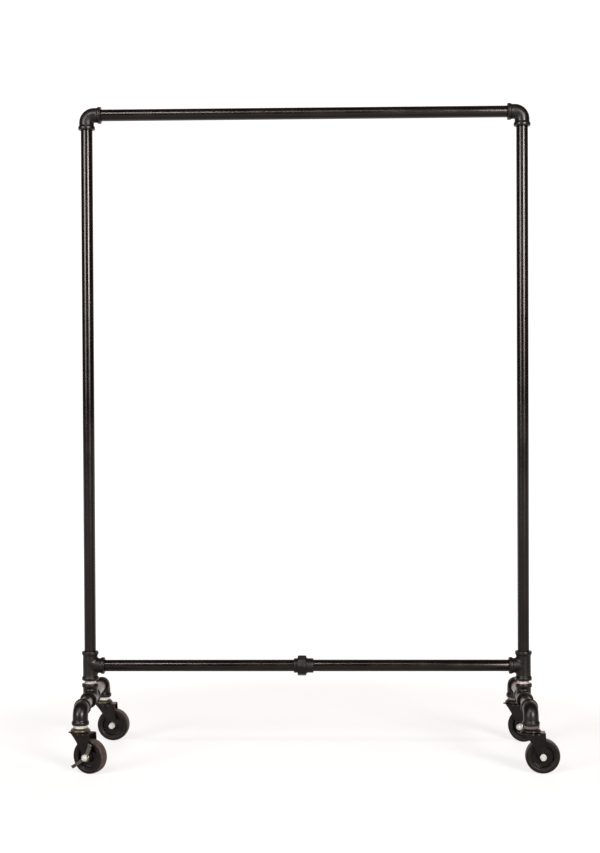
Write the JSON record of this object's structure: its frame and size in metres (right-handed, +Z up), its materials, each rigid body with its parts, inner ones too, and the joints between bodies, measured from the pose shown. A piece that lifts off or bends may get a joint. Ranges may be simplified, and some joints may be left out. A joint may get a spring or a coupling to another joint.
{
  "type": "rolling clothes rack",
  "caption": "Free-standing clothes rack of black iron pipe and screwed fittings, with a top hanging rail and a low rail, on swivel castors.",
  "frame": {"origin": "on the floor, under the middle of the frame of pipes", "axes": "+X along the rails to the right, +Y from the front to the back, +Z up"},
  "size_m": [1.0801, 0.3976, 1.4892],
  "materials": {
    "pipe": "black mill finish, oiled, satin",
    "fitting": "black malleable iron, cast grain, satin",
    "thread": "cut thread, dark with bright crests",
    "zinc": "bright zinc plate",
    "ball_steel": "polished steel",
    "castor_steel": "black semi-gloss paint on pressed steel",
    "wheel_core": "moulded black nylon",
    "tyre": "hard black polymer, tread scuffed brown-grey"
  },
  "bodies": {
    "frame": {"top_rail": "pipe", "low_rail_left": "pipe", "low_rail_right": "pipe", "union_tail": "fitting", "union_head": "fitting", "union_nut": "fitting", "top_elbow_left": "fitting", "upright_left": "pipe", "rail_tee_left": "fitting", "close_nipple_left": "thread", "base_tee_left": "fitting", "top_elbow_right": "fitting", "upright_right": "pipe", "rail_tee_right": "fitting", "close_nipple_right": "thread", "base_tee_right": "fitting", "foot_nipple_front_left": "pipe", "foot_elbow_front_left": "fitting", "bushing_front_left": "zinc", "kingpin_front_left": "zinc", "upper_race_front_left": "castor_steel", "foot_nipple_back_left": "pipe", "foot_elbow_back_left": "fitting", "bushing_back_left": "zinc", "kingpin_back_left": "zinc", "upper_race_back_left": "castor_steel", "foot_nipple_front_right": "pipe", "foot_elbow_front_right": "fitting", "bushing_front_right": "zinc", "kingpin_front_right": "zinc", "upper_race_front_right": "castor_steel", "foot_nipple_back_right": "pipe", "foot_elbow_back_right": "fitting", "bushing_back_right": "zinc", "kingpin_back_right": "zinc", "upper_race_back_right": "castor_steel"},
    "fork_front_left": {"fork_front_left": "castor_steel", "bearing_balls_front_left": "ball_steel", "axle_front_left": "zinc"},
    "wheel_front_left": {"wheel_core_front_left": "wheel_core", "tyre_front_left": "tyre"},
    "brake": {"brake_lever": "castor_steel"},
    "fork_back_left": {"fork_back_left": "castor_steel", "bearing_balls_back_left": "ball_steel", "axle_back_left": "zinc"},
    "wheel_back_left": {"wheel_core_back_left": "wheel_core", "tyre_back_left": "tyre"},
    "fork_front_right": {"fork_front_right": "castor_steel", "bearing_balls_front_right": "ball_steel", "axle_front_right": "zinc"},
    "wheel_front_right": {"wheel_core_front_right": "wheel_core", "tyre_front_right": "tyre"},
    "fork_back_right": {"fork_back_right": "castor_steel", "bearing_balls_back_right": "ball_steel", "axle_back_right": "zinc"},
    "wheel_back_right": {"wheel_core_back_right": "wheel_core", "tyre_back_right": "tyre"}
  },
  "joints": [
    {"name": "swivel_front_left", "type": "hinge", "parent": "frame", "child": "fork_front_left", "pos_m": [-0.4951, -0.1402, 0.09], "axis": [0, 0, 1], "continuous": true},
    {"name": "roll_front_left", "type": "hinge", "parent": "fork_front_left", "child": "wheel_front_left", "pos_m": [-0.47226, -0.15037, 0.0381], "axis": [0.4067, 0.9135, 0], "continuous": true},
    {"name": "brake_rock", "type": "hinge", "parent": "fork_front_left", "child": "brake", "pos_m": [-0.47226, -0.15037, 0.0381], "axis": [-0.4067, -0.9135, 0], "range_deg": [0, 12]},
    {"name": "swivel_back_left", "type": "hinge", "parent": "frame", "child": "fork_back_left", "pos_m": [-0.4951, 0.191, 0.09], "axis": [0, 0, 1], "continuous": true},
    {"name": "roll_back_left", "type": "hinge", "parent": "fork_back_left", "child": "wheel_back_left", "pos_m": [-0.4702, 0.18882, 0.0381], "axis": [0.0872, 0.9962, 0], "continuous": true},
    {"name": "swivel_front_right", "type": "hinge", "parent": "frame", "child": "fork_front_right", "pos_m": [0.4951, -0.1402, 0.09], "axis": [0, 0, 1], "continuous": true},
    {"name": "roll_front_right", "type": "hinge", "parent": "fork_front_right", "child": "wheel_front_right", "pos_m": [0.52007, -0.14151, 0.0381], "axis": [0.0523, 0.9986, 0], "continuous": true},
    {"name": "swivel_back_right", "type": "hinge", "parent": "frame", "child": "fork_back_right", "pos_m": [0.4951, 0.191, 0.09], "axis": [0, 0, 1], "continuous": true},
    {"name": "roll_back_right", "type": "hinge", "parent": "fork_back_right", "child": "wheel_back_right", "pos_m": [0.51583, 0.17702, 0.0381], "axis": [0.5592, 0.829, 0], "continuous": true}
  ]
}
